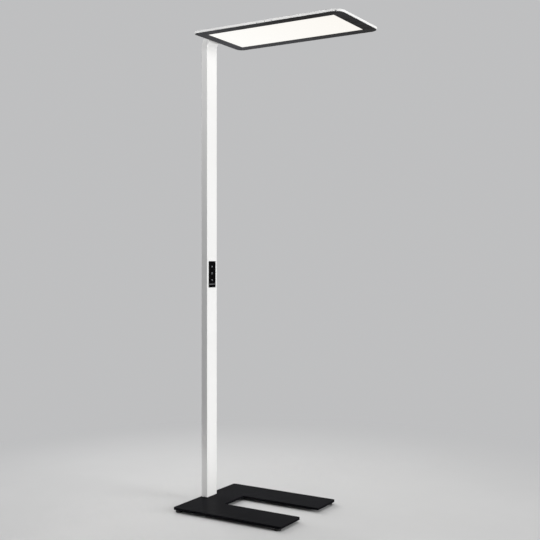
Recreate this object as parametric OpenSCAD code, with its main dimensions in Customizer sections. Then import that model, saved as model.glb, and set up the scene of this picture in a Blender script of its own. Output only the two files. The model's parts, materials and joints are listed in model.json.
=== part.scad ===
/* [Overall] */
// Height of the lamp, floor to the top of the arm
overall_h = 1955; // [1800:1:2100]
/* [Base plate] */
// Length of the U-shaped plate, rear edge to prong tips
base_l = 500; // [440:1:600]
// Width of the plate
base_w = 440; // [380:1:560]
// Thickness of the plate
base_t = 9; // [8.5:0.1:14]
// Radius of the plate's outer corners
base_corner_r = 9; // [4:0.5:16]
// Depth of the rear bar, rear edge to the notch
bar_l = 146; // [110:1:200]
// Width of the notch between the prongs
notch_w = 140; // [90:1:200]
// Radius in the notch's inner corners
notch_corner_r = 6; // [3:0.5:15]
// Plate that shows behind the post
base_rear_gap = 7; // [3:0.5:40]
/* [Feet] */
// Diameter of a foot pad
foot_d = 26; // [18:0.5:34]
// Height of a foot pad
foot_h = 10; // [4:0.1:14]
// Foot pad's centre from the plate's front or rear edge
foot_end_inset = 20; // [18:0.5:40]
// Foot pad's centre from the plate's side
foot_side_inset = 14.5; // [14:0.5:40]
// Chamfer round the foot pad's lower rim
foot_chamfer = 0.8; // [0.3:0.1:2]
// Thread diameter of a foot screw
foot_screw_d = 4; // [3:0.5:5]
// Head diameter of a foot screw
foot_screw_head_d = 8; // [7:0.5:10]
// Depth of the foot screw's thread in the plate
foot_screw_hold = 5.5; // [4:0.1:7]
/* [Post] */
// Width of the tube, across the lamp
post_w = 70; // [66:0.5:90]
// Depth of the tube, along the lamp
post_d = 29; // [28.5:0.1:40]
// Wall of the tube
post_wall = 2.5; // [2:0.1:3]
// Radius of the tube's long edges
post_corner_r = 1.5; // [1:0.1:7]
// Inner radius of the bend at the top
bend_r = 37.5; // [30:0.5:60]
// Arm beyond the front end of its mounting plate
arm_over = 28; // [18:1:120]
// Thickness of the gasket under the tube
gasket_t = 2; // [1:0.1:4]
// Gasket's edge inside the tube's outline
gasket_inset = 1.2; // [0.5:0.1:2.5]
/* [Post block] */
// Height of the steel block in the tube's foot
block_h = 50; // [44:1:60]
// Thread diameter of the post bolts
bolt_d = 8; // [6:0.5:10]
// Head diameter of the post bolts
bolt_head_d = 13; // [11:0.5:16]
// Head height of the post bolts
bolt_head_h = 4.5; // [3:0.1:5.5]
// Distance between the two post bolts
bolt_pitch = 38; // [24:0.5:42]
// Depth of thread in the block
bolt_hold = 24; // [14:0.5:34]
// Thread diameter of the screws through the tube's rear wall
side_screw_d = 5; // [4:0.5:6]
// Height of those screws above the tips of the post bolts
side_screw_over = 8; // [6:0.5:18]
/* [Mains inlet] */
// Height of the inlet's middle above the floor
inlet_z = 115; // [105:1:145]
// Length of the inlet's flange, across the post
inlet_flange_w = 50; // [48:0.5:54]
// Height of the inlet's flange
inlet_flange_h = 23; // [22:0.5:30]
// Thickness of the inlet's flange
inlet_flange_t = 2.5; // [1.8:0.1:4]
// Width of the inlet's body
inlet_body_w = 27.4; // [27:0.1:29]
// Height of the inlet's body
inlet_body_h = 19.6; // [19:0.1:21]
// Length of the body behind the tube's rear face
inlet_body_l = 17.5; // [17:0.1:19]
// Width of the socket
socket_w = 24.4; // [24:0.1:25]
// Height of the socket
socket_h = 16.4; // [16:0.1:17]
// Depth of the socket
socket_depth = 15; // [12:0.1:16]
// Cut corner of the socket
socket_cut = 5; // [3:0.1:6]
// Width of a contact blade
blade_w = 2; // [1.5:0.1:2.5]
// Height of a contact blade
blade_h = 4; // [3:0.1:4.5]
// Blades' tips inside the socket's mouth
blade_setback = 4; // [3:0.1:6]
// Distance between the two outer blades
blade_pitch = 14; // [12:0.1:16]
// Offset of the middle blade
blade_offset = 2; // [1:0.1:3]
// Distance between the inlet's screws
inlet_screw_pitch = 40; // [38:0.5:42]
/* [Driver] */
// Height of the driver's lower end above the floor
driver_z = 215; // [195:1:325]
// Length of the driver
driver_l = 300; // [240:1:360]
// Width of the driver
driver_w = 50; // [46:0.5:54]
// Thickness of the driver
driver_t = 18; // [14:0.5:20]
// Thickness of the driver's tray
tray_t = 1.5; // [1:0.1:2]
// Tray beyond each end of the driver
tray_over = 28; // [20:1:34]
// Diameter of the mains lead in the post
mains_lead_d = 6; // [5:0.1:7]
/* [Control panel] */
// Height of the panel's middle above the floor
control_z = 946; // [880:1:1100]
// Width of the panel with its frame
control_w = 54; // [50:0.5:56]
// Height of the panel with its frame
control_h = 113; // [104:0.5:124]
// Corner radius of the panel's frame
control_r = 5; // [4.4:0.1:8]
// Visible width of the frame
frame_edge = 1.5; // [1.5:0.1:2.2]
// Frame's face in front of the tube
frame_proud = 0.6; // [0.3:0.1:1.5]
// Depth of the frame's collar behind the tube's face
frame_depth = 6.5; // [5.5:0.1:8]
// Wall of the frame's collar
collar_wall = 0.8; // [0.6:0.1:1]
// Thickness of the black panel
panel_t = 2; // [1.6:0.1:2.4]
// Panel's face below the frame's face
panel_sink = 0.2; // [0.1:0.1:0.4]
// Width of a key
key_w = 30; // [22:0.5:34]
// Height of a key
key_h = 23; // [16:0.5:24]
// Corner radius of a key
key_r = 3; // [2:0.1:5]
// Distance between keys
key_pitch = 28.5; // [28.4:0.1:30]
// Middle key's centre above the panel's middle
key_shift = 4.5; // [0:0.1:5]
// Gap round a key
key_gap = 0.25; // [0.15:0.05:0.4]
// Travel of a key
key_travel = 0.8; // [0.4:0.1:1]
// Lip behind a key, each side
key_lip = 1.2; // [0.8:0.1:1.6]
// Thickness of a key's lip
key_lip_t = 1.2; // [0.8:0.1:1.5]
// Diameter of a key's stem
stem_d = 3.2; // [2.4:0.1:4]
// Stem's depth in its switch at rest
stem_hold = 1.2; // [0.8:0.1:1.6]
// Height of a key's icon
icon_size = 9; // [7:0.1:12]
// Width of the power icon's line
icon_line = 1.3; // [0.8:0.1:1.8]
// Depth of an icon's inlay
icon_t = 0.5; // [0.3:0.1:0.8]
// Length of the status light
status_w = 44; // [30:0.5:44]
// Height of the status light
status_h = 2; // [1.2:0.1:3]
// Status light's middle below the lowest key
status_drop = 5.5; // [4:0.1:9]
// Side of a key switch
switch_side = 6; // [5:0.1:8]
// Depth of a key switch
switch_t = 3.5; // [3:0.1:4.2]
// Thickness of the circuit boards
board_t = 1.6; // [1:0.1:1.8]
// Gap between the control board and its housing's floor
board_rise = 1.8; // [1.5:0.1:2.2]
// Wall of the control housing
housing_wall = 1.5; // [1.2:0.1:1.8]
// Diameter of the control lead
control_lead_d = 3.6; // [3:0.1:4]
/* [Head] */
// Length of the head
head_l = 663; // [600:1:760]
// Width of the head
head_w = 350; // [320:1:420]
// Head's rear edge behind the front end of the bend
head_behind = 13.5; // [8:0.5:13.5]
// Radius of the head's front corners
head_corner_r = 39; // [30:0.5:44]
// Radius of the head's rear corners
head_rear_r = 29; // [24:0.5:38]
// Height of the rim
rim_h = 8.5; // [8.3:0.1:12]
// Thickness of the rim's wall
rim_t = 2; // [1.5:0.1:3]
// Thickness of the shell's top
shell_t = 1.5; // [1.2:0.1:1.6]
// Thickness of the dark bezel
bezel_t = 1.2; // [1:0.1:1.4]
// Bezel's width at the rear
bezel_rear = 45; // [44:0.5:60]
// Bezel's width at the front
bezel_front = 50.5; // [44:0.5:60]
// Bezel's width at each side
bezel_side = 49; // [48:0.5:60]
// Thickness of the diffuser
diffuser_t = 1.5; // [1:0.1:1.6]
// Thickness of the light guide
guide_t = 3; // [2.5:0.1:3.2]
// Thickness of the reflector
reflector_t = 0.5; // [0.3:0.1:0.6]
// Diffuser's edge behind the bezel
diffuser_lap = 6; // [4:0.5:7]
// Distance between the notches at the ends of the sensor insert
sensor_l = 67; // [50:1:90]
// Sensor insert's middle ahead of the head's middle
sensor_shift = 8; // [-40:1:40]
// Sensor lens ahead of its insert's middle
lens_shift = 3; // [-15:1:15]
// Diameter of the sensor lens
lens_d = 3.4; // [2:0.1:4.4]
// Height of the sensor insert
sensor_h = 6; // [5.2:0.1:6.5]
// Width of the rim's pry notches
pry_w = 3; // [2:0.1:5]
// Height of the rim's pry notches
pry_h = 4; // [2:0.1:5]
// Angle of a corner's pry notch round that corner
pry_angle = 60; // [45:1:75]
/* [Head lighting] */
// Width of a rail behind a light strip
rail_w = 8; // [5:0.1:10]
// Thickness of a light strip's board
strip_t = 1; // [0.6:0.1:1.6]
// Height of a light strip's board
strip_h = 4.4; // [4:0.1:5]
// Emitters on each light strip
emitter_count = 30; // [10:1:40]
// Side of an emitter
emitter_side = 2.6; // [2:0.1:3]
// Depth of an emitter
emitter_t = 0.7; // [0.5:0.1:1]
// Width of an uplight window
window_w = 56; // [40:1:70]
// Length of an uplight window
window_l = 480; // [360:1:500]
// Gap between the arm's side and an uplight window
window_gap = 18; // [14:0.5:20]
// Corner radius of an uplight window
window_r = 5; // [3:0.5:10]
// Emitters along each uplight board
uplight_count = 16; // [8:1:20]
// Side of an uplight emitter
uplight_side = 5; // [3:0.5:6]
/* [Head cover] */
// Height of the raised cover on the head
cover_h = 6; // [5.8:0.1:9]
// Wall of the cover
cover_t = 1.5; // [1.2:0.1:1.6]
// Cover's edge inside the head's rear edge
cover_rear = 15; // [14:0.5:20]
// Cover's edge inside the head's front edge
cover_front = 45; // [35:1:55]
// Cover's edge inside the head's sides
cover_side = 42; // [36:0.5:44]
// Corner radius of the cover
cover_r = 20; // [10:0.5:28]
/* [Arm joint] */
// Length of the mounting plate under the arm
mount_plate_l = 270; // [256:1:290]
// Width of the mounting plate
mount_plate_w = 58; // [54:0.5:60]
// Thickness of the threaded bar in the arm
nut_bar_t = 6; // [4:0.5:8]
// Distance between the arm screws along the arm
arm_screw_pitch_x = 230; // [200:1:240]
// Distance between the arm screws across the arm
arm_screw_pitch_y = 38; // [30:0.5:40]
// Thread diameter of the arm screws
arm_screw_d = 6; // [5:0.5:8]
// Head diameter of the arm screws
arm_screw_head_d = 12.6; // [11:0.1:14]
// Head height of the arm screws
arm_screw_head_h = 3.3; // [2.8:0.1:3.8]
// Mounting plate's rear end ahead of the bend's end
mount_plate_gap = 50; // [45:1:60]
// Diameter of the lead to the head
head_lead_d = 6; // [5:0.1:6.5]
// Head lead's drop ahead of the bend's end
lead_drop = 14; // [13:0.5:16]
// Radius in which the head lead turns down
lead_turn_r = 12; // [9:0.5:12.5]
// Wall of the grommet round the head lead
grommet_wall = 2; // [1.5:0.1:3]
// Diameter of the branch leads in the head
branch_lead_d = 2.4; // [1.8:0.1:2.6]
/* [Fits] */
// Clearance of a screw in its hole, radial
screw_gap = 0.05; // [0.02:0.01:0.1]
// Clearance between parts that slide together
slide_gap = 0.3; // [0.1:0.05:0.4]
// Clearance round inserts and windows
insert_gap = 0.2; // [0.1:0.05:0.3]
// Clearance of a stem in its switch, radial
stem_gap = 0.1; // [0.05:0.01:0.15]

/* [Hidden] */
$fn = 64;
cut = 1;
min_r = 0.2;

// Hexagon in a screw's head, as shares of its thread and head
drive_d_share = 0.6;
drive_depth_share = 0.5;

// Post and base
post_front = post_d / 2;
post_back = -post_d / 2;
inner_d = post_d - 2 * post_wall;
inner_w = post_w - 2 * post_wall;
inner_r = max(post_corner_r - post_wall, min_r);
gasket_r = max(post_corner_r - gasket_inset, min_r);
base_back = post_back - base_rear_gap;
base_front = base_back + base_l;
prong_w = (base_w - notch_w) / 2;
plate_top = foot_h + base_t;
tube_z = plate_top + gasket_t;
block_top = tube_z + block_h;
foot_xs = [base_back + foot_end_inset, base_front - foot_end_inset];
foot_y = base_w / 2 - foot_side_inset;
foot_head_h = (foot_screw_head_d - foot_screw_d) / 2;
foot_floor = 1;
foot_recess = foot_h - foot_head_h - foot_floor;
side_screw_z = tube_z + bolt_hold + side_screw_over;
side_head_h = side_screw_d / 2;
side_head_d = 2 * side_screw_d;
small_screw_d = 3;
small_head_d = 5.6;
small_head_h = 1.5;

// Bend and arm
arm_under = overall_h - post_d;
arm_mid = overall_h - post_d / 2;
bend_x = post_front + bend_r;
bend_z = arm_under - bend_r;
arm_floor = arm_under + post_wall;
cap_t = 2;
cap_plug_l = 12;
cap_plug_wall = 1;

// Inlet
inlet_face = post_back - inlet_flange_t;
inlet_floor = inlet_face + socket_depth;
inlet_end = post_back + inlet_body_l;
inlet_corner_r = 3;
blade_tail = 2;
blade_tip = inlet_face + blade_setback;
inlet_screw_l = 8;

// Driver
tray_back = post_back + post_wall;
driver_back = tray_back + tray_t;
driver_mid_x = driver_back + driver_t / 2;
driver_top = driver_z + driver_l;
tray_w = driver_w + 2 * (tray_t + insert_gap);
tray_side = 8;
driver_foot_l = 10;
driver_foot_t = 3;
tray_screw_over = (tray_over + driver_foot_l) / 2;
tray_screw_zs = [driver_z - tray_screw_over, driver_top + tray_screw_over];
mains_lead_x = driver_mid_x - driver_t / 4;
control_lead_y = driver_w / 4;
tray_screw_l = post_wall + tray_t;

// Control panel
frame_face = post_front + frame_proud;
panel_face = frame_face - panel_sink;
panel_back = panel_face - panel_t;
collar_back = post_front - frame_depth;
window_in_w = control_w - 2 * frame_edge;
window_in_h = control_h - 2 * frame_edge;
window_in_r = control_r - frame_edge;
panel_w = window_in_w - 2 * insert_gap;
panel_h = window_in_h - 2 * insert_gap;
panel_r = window_in_r - insert_gap;
collar_w = window_in_w + 2 * collar_wall;
collar_h = window_in_h + 2 * collar_wall;
collar_r = window_in_r + collar_wall;
key_mid_z = control_z + key_shift;
key_zs = [key_mid_z + key_pitch, key_mid_z, key_mid_z - key_pitch];
lip_front = panel_back - slide_gap;
lip_back = lip_front - key_lip_t;
switch_gap = key_travel + slide_gap;
switch_face = lip_back - switch_gap;
stem_end = switch_face - stem_hold;
board_face = switch_face - switch_t;
board_back = board_face - board_t;
housing_floor = board_back - board_rise;
housing_back = housing_floor - housing_wall;
board_w = panel_w - 2 * (housing_wall + insert_gap);
board_h = panel_h - 2 * (housing_wall + insert_gap);
boss_d = 5;
boss_edge = 1;
boss_inset = boss_d / 2 + boss_edge;
boss_ys = [-board_w / 2 + boss_inset, board_w / 2 - boss_inset];
boss_zs = [control_z - board_h / 2 + boss_inset, control_z + board_h / 2 - boss_inset];
board_screw_d = 2;
board_screw_head_d = 3.6;
board_screw_head_h = 1.2;
status_z = key_zs[2] - key_h / 2 - status_drop;
clip_l = 10;
clip_t = 3;
clip_rise = control_h / 4;
icon_r = icon_size / 2;
arrow_tip = 0.8 * icon_r;
arrow_foot = 0.6 * icon_r;
power_gap = 3 * icon_line;

// Head
head_back = bend_x - head_behind;
head_front = head_back + head_l;
head_mid = (head_back + head_front) / 2;
rim_top = arm_under - cover_h;
rim_bottom = rim_top - rim_h;
shell_under = rim_top - shell_t;
bezel_top = rim_bottom + bezel_t;
open_back = head_back + bezel_rear;
open_front = head_front - bezel_front;
open_mid = (open_back + open_front) / 2;
open_l = open_front - open_back;
open_w = head_w - 2 * bezel_side;
guide_l = open_l + 2 * diffuser_lap;
guide_w = open_w + 2 * diffuser_lap;
diffuser_top = bezel_top + diffuser_t;
guide_top = diffuser_top + guide_t;
reflector_top = guide_top + reflector_t;
strip_y = guide_w / 2 + insert_gap + emitter_t;
strip_end_gap = 2;
strip_l = guide_l - 2 * strip_end_gap;
strip_z = (bezel_top + shell_under - strip_h) / 2;
rail_y = strip_y + strip_t;
emitter_step = strip_l / emitter_count;
magnet_d = 8;
magnet_end = 22;
magnet_side = 14;
magnet_x = head_l / 2 - magnet_end;
magnet_y = head_w / 2 - magnet_side;
sensor_x = head_mid + sensor_shift;
sensor_half = (sensor_l - pry_w) / 2;
sensor_wall = 3;
sensor_face = -head_w / 2;
sensor_back = sensor_face + sensor_wall;
lens_x = sensor_x + lens_shift;
lens_z = rim_bottom + sensor_h / 2;
sensor_board_l = 40;
sensor_board_h = 4.6;

// Cover, uplight and arm joint
cover_back = head_back + cover_rear;
cover_l = head_front - cover_front - cover_back;
cover_mid = cover_back + cover_l / 2;
cover_w = head_w - 2 * cover_side;
cover_under = arm_under - cover_t;
window_y = post_w / 2 + window_gap + window_w / 2;
window_shift = 10;
window_x = cover_mid + window_shift;
window_lap = 3;
lens_lap_t = 1.2;
uplight_step = window_l / uplight_count;
uplight_board_t = 1.2;
uplight_chip_t = 0.8;
mount_plate_back = bend_x + mount_plate_gap;
mount_plate_front = mount_plate_back + mount_plate_l;
mount_plate_mid = (mount_plate_back + mount_plate_front) / 2;
arm_end = mount_plate_front + arm_over;
nut_bar_w = min(mount_plate_w, inner_w - 2 * slide_gap);
arm_screw_l = arm_floor + nut_bar_t - shell_under;
lead_x = bend_x + lead_drop;
lead_bend_r = bend_x - driver_back - head_lead_d / 2 - insert_gap;
lead_post_x = bend_x - lead_bend_r;
lead_arm_z = bend_z + lead_bend_r;
lead_hole_d = head_lead_d + 2 * insert_gap + 2 * grommet_wall;
junction_l = 24;
junction_w = 40;
junction_h = 4.6;
junction_over = 9;
junction_front = lead_x + junction_over;
junction_z = shell_under - junction_h;
branch_x = junction_front - junction_l / 2;
branch_turn_r = 5;
strip_branch_y = strip_y + (strip_t + branch_lead_d) / 2;
strip_branch_z = junction_z + junction_h / 2;
uplight_branch_z = rim_top + branch_lead_d / 2;
uplight_branch_x = branch_x + lead_hole_d / 2;
uplight_branch_y = junction_w / 3;

// Middle of the whole lamp along its length
centre_x = (min(base_back, inlet_face) + max(base_front, head_front)) / 2;

// Shared forms

module placed() {
    translate([-centre_x, 0, 0]) children();
}

module round_rect(l, w, r) {
    square([l - 2 * r, w], center = true);
    square([l, w - 2 * r], center = true);
    for (sx = [-1, 1], sy = [-1, 1]) {
        translate([sx * (l / 2 - r), sy * (w / 2 - r)]) circle(r);
    }
}

module round_ring(l, w, r, wall) {
    difference() {
        round_rect(l, w, r);
        round_rect(l - 2 * wall, w - 2 * wall, max(r - wall, min_r));
    }
}

// Box from its lowest to its highest corner
module box(low, high) {
    translate(low) cube(high - low);
}

// Plate across the lamp's length: the outline's X is the height, its Y the width
module upright(x_low, x_high, z) {
    translate([x_low, 0, z]) rotate([0, 90, 0]) linear_extrude(x_high - x_low) children();
}

// Flat plate: the outline's X is the length, its Y the width
module flat(x, z_low, z_high) {
    translate([x, 0, z_low]) linear_extrude(z_high - z_low) children();
}

module rod_z(x, y, z_low, z_high, d) {
    translate([x, y, z_low]) cylinder(h = z_high - z_low, d = d);
}

module rod_x(x_low, x_high, y, z, d) {
    translate([x_low, y, z]) rotate([0, 90, 0]) cylinder(h = x_high - x_low, d = d);
}

module rod_y(x, y_low, y_high, z, d) {
    translate([x, y_high, z]) rotate([90, 0, 0]) cylinder(h = y_high - y_low, d = d);
}

// Hexagon cut into a head whose face is at zero
module screw_drive(d, head_h) {
    translate([0, 0, -cut]) cylinder(h = cut + head_h * drive_depth_share, d = d * drive_d_share, $fn = 6);
}

// Countersunk screw that points up, with its head's face at zero
module sunk_screw(l, d, head_d, head_h) {
    difference() {
        union() {
            cylinder(h = l, d = d);
            cylinder(h = head_h, d1 = head_d, d2 = d);
        }
        screw_drive(d, head_h);
    }
}

// Hole for that screw
module sunk_hole(l, d, head_d, head_h) {
    translate([0, 0, -cut]) cylinder(h = l + cut, d = d + 2 * screw_gap);
    cylinder(h = head_h, d1 = head_d + 2 * screw_gap, d2 = d + 2 * screw_gap);
    translate([0, 0, -cut]) cylinder(h = cut, d = head_d + 2 * screw_gap);
}

// Quarter turn of a tube's outline from straight up to straight ahead, round the bend's centre
module bend_up(r) {
    translate([bend_x, 0, bend_z]) mirror([1, 0, 0]) rotate([90, 0, 0])
        rotate_extrude(angle = 90) translate([r, 0]) children();
}

// Base

module base_outline() {
    translate([base_back + bar_l / 2, 0]) round_rect(bar_l, base_w, base_corner_r);
    for (s = [-1, 1]) {
        translate([base_back + base_l / 2, s * (base_w - prong_w) / 2])
            round_rect(base_l, prong_w, base_corner_r);
        translate([base_back + bar_l, s * notch_w / 2]) rotate([0, 0, -45 - s * 45]) difference() {
            translate([-cut, -cut]) square(notch_corner_r + cut);
            translate([notch_corner_r, notch_corner_r]) circle(notch_corner_r);
        }
    }
}

module base_plate() color([0.09, 0.09, 0.1]) placed() difference() {
    flat(0, foot_h, plate_top) base_outline();
    for (x = foot_xs, s = [-1, 1]) {
        rod_z(x, s * foot_y, foot_h - cut, foot_h + foot_screw_hold, foot_screw_d + 2 * screw_gap);
    }
    for (s = [-1, 1]) {
        rod_z(0, s * bolt_pitch / 2, foot_h - cut, plate_top + cut, bolt_d + 2 * screw_gap);
        rod_z(0, s * bolt_pitch / 2, foot_h - cut, foot_h + bolt_head_h, bolt_head_d + 2 * insert_gap);
    }
}

module foot_pads() color([0.05, 0.05, 0.05]) placed() for (x = foot_xs, s = [-1, 1]) {
    translate([x, s * foot_y, 0]) difference() {
        rotate_extrude() polygon([
            [0, 0], [foot_d / 2 - foot_chamfer, 0], [foot_d / 2, foot_chamfer],
            [foot_d / 2, foot_h], [0, foot_h]
        ]);
        translate([0, 0, foot_recess]) sunk_hole(foot_h, foot_screw_d, foot_screw_head_d, foot_head_h);
        translate([0, 0, -cut]) cylinder(h = foot_recess + cut, d = foot_screw_head_d + 2 * screw_gap);
    }
}

module foot_screws() color([0.7, 0.7, 0.72]) placed() for (x = foot_xs, s = [-1, 1]) {
    translate([x, s * foot_y, foot_recess])
        sunk_screw(foot_h - foot_recess + foot_screw_hold, foot_screw_d, foot_screw_head_d, foot_head_h);
}

// Post

module post_gasket() color([0.03, 0.03, 0.03]) placed() difference() {
    flat(0, plate_top, tube_z)
        round_rect(post_d - 2 * gasket_inset, post_w - 2 * gasket_inset, gasket_r);
    for (s = [-1, 1]) {
        rod_z(0, s * bolt_pitch / 2, plate_top - cut, tube_z + cut, bolt_d + 2 * screw_gap);
    }
}

module post_block() color([0.5, 0.5, 0.52]) placed() difference() {
    flat(0, tube_z, block_top)
        round_rect(inner_d - 2 * slide_gap, inner_w - 2 * slide_gap, inner_r);
    for (s = [-1, 1]) {
        rod_z(0, s * bolt_pitch / 2, tube_z - cut, tube_z + bolt_hold + cut, bolt_d + 2 * screw_gap);
        rod_x(post_back, 0, s * bolt_pitch / 2, side_screw_z, side_screw_d + 2 * screw_gap);
    }
}

module post_bolts() color([0.3, 0.3, 0.32]) placed() for (s = [-1, 1]) {
    translate([0, s * bolt_pitch / 2, foot_h]) difference() {
        union() {
            cylinder(h = bolt_head_h, d = bolt_head_d);
            cylinder(h = base_t + gasket_t + bolt_hold, d = bolt_d);
        }
        screw_drive(bolt_d, bolt_head_h);
    }
}

module tube_outline() {
    round_ring(post_d, post_w, post_corner_r, post_wall);
}

module at_side_screws() {
    for (s = [-1, 1]) {
        translate([post_back, s * bolt_pitch / 2, side_screw_z]) rotate([0, 90, 0]) children();
    }
}

module at_tray_screws() {
    for (z = tray_screw_zs) {
        translate([post_back, 0, z]) rotate([0, 90, 0]) children();
    }
}

module at_inlet_screws() {
    for (s = [-1, 1]) {
        translate([inlet_face, s * inlet_screw_pitch / 2, inlet_z]) rotate([0, 90, 0]) children();
    }
}

module at_arm_screws() {
    for (sx = [-1, 1], sy = [-1, 1]) {
        translate([mount_plate_mid + sx * arm_screw_pitch_x / 2, sy * arm_screw_pitch_y / 2, shell_under])
            children();
    }
}

module arm_screw_holes() {
    at_arm_screws() sunk_hole(arm_screw_l + cut, arm_screw_d, arm_screw_head_d, arm_screw_head_h);
}

module lead_hole(z_low, z_high) {
    rod_z(lead_x, 0, z_low - cut, z_high + cut, lead_hole_d);
}

module post_tube() color([0.86, 0.86, 0.85]) placed() difference() {
    union() {
        flat(0, tube_z, bend_z) tube_outline();
        bend_up(bend_r + post_d / 2) tube_outline();
        upright(bend_x, arm_end, arm_mid) tube_outline();
    }
    at_side_screws() sunk_hole(post_wall + cut, side_screw_d, side_head_d, side_head_h);
    at_tray_screws() sunk_hole(post_wall + cut, small_screw_d, small_head_d, small_head_h);
    upright(post_back - cut, post_back + post_wall + cut, inlet_z)
        square([inlet_body_h + 2 * insert_gap, inlet_body_w + 2 * insert_gap], center = true);
    at_inlet_screws() cylinder(h = inlet_screw_l, d = small_screw_d + 2 * screw_gap);
    upright(post_front - post_wall - cut, post_front + cut, control_z)
        round_rect(collar_h + 2 * insert_gap, collar_w + 2 * insert_gap, collar_r + insert_gap);
    at_arm_screws() cylinder(h = arm_screw_l - nut_bar_t + cut, d = arm_screw_d + 2 * screw_gap);
    lead_hole(arm_under, arm_floor);
}

module block_screws() color([0.75, 0.75, 0.76]) placed() at_side_screws()
    sunk_screw(post_d / 2 - slide_gap, side_screw_d, side_head_d, side_head_h);

// Mains inlet

module socket_outline() {
    polygon([
        [socket_h / 2, -socket_w / 2], [socket_h / 2, socket_w / 2],
        [-socket_h / 2 + socket_cut, socket_w / 2], [-socket_h / 2, socket_w / 2 - socket_cut],
        [-socket_h / 2, -socket_w / 2 + socket_cut], [-socket_h / 2 + socket_cut, -socket_w / 2]
    ]);
}

module blade(y, z, gap) {
    box([blade_tip - gap, y - blade_w / 2 - gap, z - blade_h / 2 - gap],
        [inlet_end + blade_tail + gap, y + blade_w / 2 + gap, z + blade_h / 2 + gap]);
}

module blades(gap) {
    for (s = [-1, 1]) {
        blade(s * blade_pitch / 2, inlet_z - blade_offset, gap);
    }
    blade(0, inlet_z + blade_offset, gap);
}

module mains_inlet() color([0.06, 0.06, 0.06]) placed() difference() {
    union() {
        upright(inlet_face, post_back, inlet_z) round_rect(inlet_flange_h, inlet_flange_w, inlet_corner_r);
        upright(post_back, inlet_end, inlet_z) square([inlet_body_h, inlet_body_w], center = true);
    }
    upright(inlet_face - cut, inlet_floor, inlet_z) socket_outline();
    blades(screw_gap);
    at_inlet_screws() sunk_hole(inlet_flange_t + cut, small_screw_d, small_head_d, small_head_h);
}

module inlet_blades() color([0.78, 0.68, 0.4]) placed() blades(0);

module inlet_screws() color([0.75, 0.75, 0.76]) placed() at_inlet_screws()
    sunk_screw(inlet_screw_l, small_screw_d, small_head_d, small_head_h);

module mains_lead() color([0.1, 0.1, 0.1]) placed()
    rod_z(mains_lead_x, 0, inlet_z + inlet_body_h / 2, driver_z, mains_lead_d);

// Driver

module led_driver() color([0.93, 0.93, 0.92]) placed() {
    box([driver_back, -driver_w / 2, driver_z], [driver_back + driver_t, driver_w / 2, driver_top]);
    for (z = [driver_z - driver_foot_l, driver_top], y = [-driver_w / 2, driver_w / 2 - driver_foot_l]) {
        box([driver_back, y, z], [driver_back + driver_foot_t, y + driver_foot_l, z + driver_foot_l]);
    }
}

module driver_tray() color([0.7, 0.71, 0.72]) placed() difference() {
    union() {
        box([tray_back, -tray_w / 2, driver_z - tray_over],
            [driver_back, tray_w / 2, driver_top + tray_over]);
        for (s = [-1, 1]) {
            translate([0, s * (tray_w - tray_t) / 2, 0])
                box([tray_back, -tray_t / 2, driver_z - tray_over],
                    [tray_back + tray_side, tray_t / 2, driver_top + tray_over]);
        }
    }
    at_tray_screws() cylinder(h = tray_screw_l + cut, d = small_screw_d + 2 * screw_gap);
}

module tray_screws() color([0.75, 0.75, 0.76]) placed() at_tray_screws()
    sunk_screw(tray_screw_l, small_screw_d, small_head_d, small_head_h);

// Control panel

module control_frame() color([0.8, 0.8, 0.8]) placed() difference() {
    union() {
        upright(post_front, frame_face, control_z) round_rect(control_h, control_w, control_r);
        upright(collar_back, post_front, control_z) round_rect(collar_h, collar_w, collar_r);
    }
    upright(collar_back - cut, frame_face + cut, control_z)
        round_rect(window_in_h, window_in_w, window_in_r);
}

// Spring clips between the frame's collar and the inside of the tube's wall
module control_clips() color([0.7, 0.7, 0.7]) placed()
    for (s = [-1, 1], z = [control_z - clip_rise, control_z + clip_rise]) {
        translate([0, s * (collar_w + clip_t) / 2, z])
            box([collar_back, -clip_t / 2, -clip_l / 2], [post_front - post_wall, clip_t / 2, clip_l / 2]);
    }

module key_outline(grow) {
    round_rect(key_h + 2 * grow, key_w + 2 * grow, key_r + grow);
}

module control_panel() color([0.02, 0.02, 0.02]) placed() difference() {
    upright(panel_back, panel_face, control_z) round_rect(panel_h, panel_w, panel_r);
    for (z = key_zs) {
        upright(panel_back - cut, panel_face + cut, z) key_outline(key_gap);
    }
    upright(panel_back - cut, panel_face + cut, status_z) square([status_h, status_w], center = true);
}

module key_body(z) {
    upright(lip_front, panel_face, z) key_outline(0);
    upright(lip_back, lip_front, z) key_outline(key_lip);
    rod_x(stem_end, lip_back, 0, z, stem_d);
}

module arrow_outline(up) {
    polygon([[-up * arrow_tip, 0], [up * arrow_foot, icon_r], [up * arrow_foot, -icon_r]]);
}

module power_outline() {
    difference() {
        circle(icon_r);
        circle(icon_r - icon_line);
        translate([-icon_size, -power_gap / 2]) square([icon_size, power_gap]);
    }
    translate([-icon_r - icon_line / 2, -icon_line / 2]) square([icon_r + icon_line / 2, icon_line]);
}

module key_with_icon(z) {
    difference() {
        key_body(z);
        upright(panel_face - icon_t, panel_face + cut, z) children();
    }
}

module key_up() color([0.02, 0.02, 0.02]) placed() key_with_icon(key_zs[0]) arrow_outline(1);

module key_power() color([0.02, 0.02, 0.02]) placed() key_with_icon(key_zs[1]) power_outline();

module key_down() color([0.02, 0.02, 0.02]) placed() key_with_icon(key_zs[2]) arrow_outline(-1);

module icon_inlay(z) {
    upright(panel_face - icon_t, panel_face, z) children();
}

module icon_up() color([0.8, 0.82, 0.85]) placed() icon_inlay(key_zs[0]) arrow_outline(1);

module icon_power() color([0.8, 0.82, 0.85]) placed() icon_inlay(key_zs[1]) power_outline();

module icon_down() color([0.8, 0.82, 0.85]) placed() icon_inlay(key_zs[2]) arrow_outline(-1);

module status_light() color([0.55, 0.56, 0.58]) placed()
    upright(panel_back, panel_face, status_z)
        square([status_h - 2 * screw_gap, status_w - 2 * screw_gap], center = true);

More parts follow.
